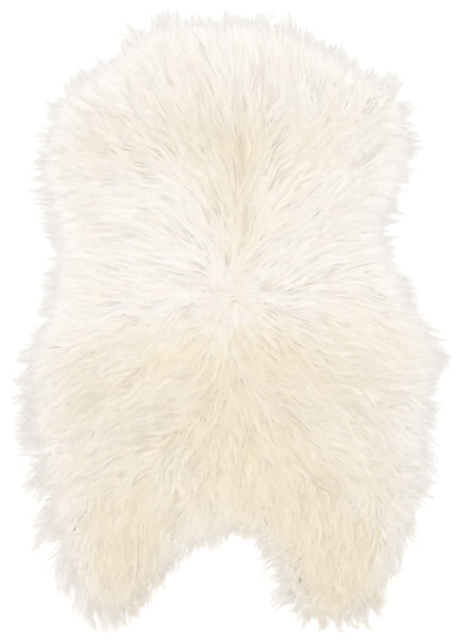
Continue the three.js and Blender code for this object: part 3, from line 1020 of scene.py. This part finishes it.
def growWool(kind, rootX, rootY):
    locks = len(rootX)
    fine = kind["guideSteps"]
    apartLock = sample(openness, rootX, rootY)
    length = random.uniform(*kind["lockLength"], locks)
    length = length * sample(longer, rootX, rootY)
    wander = random.normal(0, 1, locks) * between(kind["wander"], apartLock)
    heading = random.uniform(0, 2 * math.pi, locks)
    tousled = np.stack([np.cos(heading), np.sin(heading)], 1) * kind["tousled"]
    drift = np.stack([sample(driftX, rootX, rootY), sample(driftY, rootX, rootY)], 1)
    tousled = tousled + drift * kind["drift"]
    guides = combedPaths(rootX, rootY, length, fine, wander, tousled)
    # The guide ends where the wool's reach does
    depth = sample(edgeDepth, guides[..., 0], guides[..., 1])
    allowed = sample(past, guides[..., 0], guides[..., 1])
    allowed = allowed * random.uniform(*kind["overhang"], locks)[:, None]
    outside = depth < -allowed
    outside |= np.abs(guides[..., 0]) > cadHigh.x + reach["mostPastBox"] - kind["lockTipWidth"][0] / 2
    outside |= np.abs(guides[..., 1]) > cadHigh.y + reach["mostPastEnds"]
    first = np.where(outside.any(1), outside.argmax(1), fine)
    cut = np.maximum(first, 5) / fine
    length = length * cut
    perLock, steps = kind["strandsPerLock"], kind["steps"]
    strands = locks * perLock
    owner = np.repeat(np.arange(locks), perLock)
    apart = apartLock[owner]
    ends = cut[owner] * random.uniform(kind["ends"], 1.0, strands)
    starts = cut[owner] * random.uniform(0.0, kind["starts"], strands)
    ramp = np.linspace(0, 1, steps + 1)[None, :]
    shares = starts[:, None] + ramp * (ends - starts)[:, None]
    points = resample(guides[owner], shares)
    progress = shares / cut[owner][:, None]
    side = np.gradient(points, axis=1)
    side = unit(np.stack([-side[..., 1], side[..., 0]], 2))
    turn = random.uniform(*kind["around"], strands)
    out = np.sqrt(random.uniform(0.05, 1, strands))
    core = (np.arange(strands) % perLock) < kind["coreStrands"]
    across = np.where(core, random.uniform(*kind["coreAcross"], strands), np.cos(turn) * out)
    over = np.where(core, random.uniform(*kind["coreOver"], strands), np.sin(turn) * out)
    stray = random.uniform(0, 1, strands) < kind["stray"]
    gather = smoothStep(progress / kind["gathered"])
    tipWidth = between(kind["lockTipWidth"], apart)[:, None]
    half = (kind["lockWidth"] * (1 - gather) + tipWidth * gather) / 2
    half = half * random.uniform(*kind["varies"], locks)[owner][:, None]
    half = np.where(stray[:, None], half * kind["strayWidth"], half)
    wave = kind["wave"]
    waveHeight = wave["height"] * sample(waviness, rootX, rootY) * random.uniform(*wave["varies"], locks)
    waveLength = wave["length"] * random.uniform(*kind["varies"], locks)
    waveLength = np.maximum(waveLength, length / steps * wave["leastSteps"])[owner]
    among, within = wave["phase"]
    phase = sample(ripple, rootX, rootY) * wave["ripple"] + random.normal(0, among, locks)
    phase = phase[owner] + random.normal(0, within, strands)
    distance = progress * (length[owner] * random.uniform(*wave["pace"], strands))[:, None]
    sway = np.sin(distance / waveLength[:, None] * 2 * math.pi + phase[:, None])
    sway = sway * waveHeight[owner][:, None] * smoothStep(progress / wave["full"])
    strayWay = np.where(stray, random.normal(0, kind["strayWay"], strands), 0)[:, None] * progress**1.5
    points = points + side * (across[:, None] * half + sway + strayWay)[..., None]
    ground = sample(woolTop, points[..., 0], points[..., 1])
    level = between((kind["rootHeight"], kind["tipHeight"]), smoothStep(progress / kind["risen"]))
    lift = random.normal(0, 1, locks) * between(kind["lockLift"], apartLock)
    lift = lift[owner][:, None] * smoothStep(progress / kind["lifted"])
    # A lock is thin at its root, thickest a little before its middle, and thin again at its tip
    thick = between(kind["lockHeight"], apart)[:, None]
    thick = thick * np.sin(np.clip(progress, 0, 1) ** 0.7 * math.pi * 0.82 + 0.25)
    z = ground * level + lift + over[:, None] * thick * 0.5
    lowest, highest = kind["heights"]
    z = np.clip(z, lowest + 0.0012 * over[:, None], cadHigh.z + highest)
    # The facing of the wool here: its own slope, and the rounding of the lock
    outer = smoothStep(-sample(edgeDepth, *points.T).T / kind["rimBand"])
    slopeHere = np.stack([-sample(slopeX, *points.T).T, -sample(slopeY, *points.T).T], 2)
    slopeHere = slopeHere * (1 - 0.7 * outer[..., None])
    rounding = (across * between(kind["lockRound"], apart))[:, None, None]
    facing = np.concatenate([slopeHere + side * rounding, np.ones(z.shape)[..., None]], 2)
    thin = random.uniform(*kind["strandVaries"], strands)[:, None] * kind["strandWidth"]
    rooted = 0.15 + 0.85 * smoothStep(ramp / kind["rootTaper"])
    thinner, coreThinner = kind["rimThinner"]
    widths = thin * rooted * (1 - 0.5 * ramp**2) * (1 - thinner * outer)
    broad = kind["coreWidth"] / kind["strandWidth"] * (1 - 0.7 * ramp**1.6)
    widths[core] *= broad * (1 - coreThinner * outer[core])
    middle = points[:, steps // 2]
    tone = toneOf(middle[:, 0], middle[:, 1]) + sample(mottle, middle[:, 0], middle[:, 1])
    spread = woolTone["spread"]
    tone = tone + random.normal(0, spread, locks)[owner] + random.normal(0, spread, strands)
    return {
        "points": np.concatenate([points, z[..., None]], 2),
        "widths": widths,
        "facing": unit(facing),
        "lean": between(kind["lean"], outer),
        "tone": np.clip(tone, *woolTone["limits"]),
        "along": progress,
    }


def addWool(name, kind, grown, pieceCount):
    order = np.argsort(grown["points"][:, 0, 1])
    for number, chosen in enumerate(np.array_split(order, pieceCount)):
        part = {word: values[chosen] for word, values in grown.items()}
        made = tubesMesh(f"{name}_{number + 1}", part, kind["flat"], kind["strandRound"], strandMaterial)
        woolPieces.append(made)


print("wool")
addWool("wool", wool, growWool(wool, *placeRoots(wool["lockSpacing"])), 5)

print("short wool at the partings")
coveredFrom, coveredBy = partings["coveredFrom"], partings["coveredBy"]
partingChance = np.clip((parting - coveredFrom) / (coveredBy - coveredFrom), 0, 1)
for place in thinPlaces:
    partingChance = partingChance + hill(place["at"], place["size"])
roots = placeRoots(partingWool["lockSpacing"], partingChance)
grown = growWool(partingWool, *roots)
roots = random.normal(0, whorlMiddle["spread"], (2, whorlMiddle["locks"]))
roots = roots + np.add(spineCross, whorlMiddle["at"])[:, None]
crossing = growWool(whorlWool, *roots)
grown = {word: np.concatenate([grown[word], crossing[word]]) for word in grown}
addWool("partingWool", partingWool, grown, 1)

print("fringe")
rimChance = np.clip(1 - edgeDepth / fringe["rootBand"], 0, 1) * fringe["rootChance"]
roots = placeRoots(fringe["lockSpacing"], rimChance)
addWool("fringe", fringe, growWool(fringe, *roots), 1)
